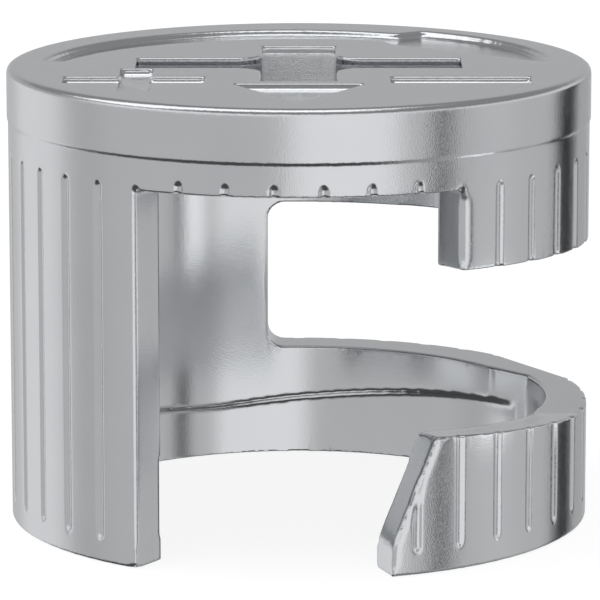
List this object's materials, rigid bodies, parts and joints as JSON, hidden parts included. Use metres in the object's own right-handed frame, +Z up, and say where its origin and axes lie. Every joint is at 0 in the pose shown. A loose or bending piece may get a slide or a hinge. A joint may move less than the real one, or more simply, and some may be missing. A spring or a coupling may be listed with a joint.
{
  "type": "furniture cam lock fitting",
  "caption": "Round zinc cam housing that turns in a blind panel hole and draws a bolt's head along its inner track, pulling two furniture panels together.",
  "frame": {"origin": "middle of the base on the drum's axis", "axes": "+Z up along the drum's axis towards the disc, -Y out through the middle of the window"},
  "size_m": [0.015, 0.015, 0.0117],
  "materials": {
    "zinc": "bright plated zinc die casting, satin with a fine cast grain"
  },
  "bodies": {
    "root": {"cam_housing": "zinc"}
  },
  "joints": []
}
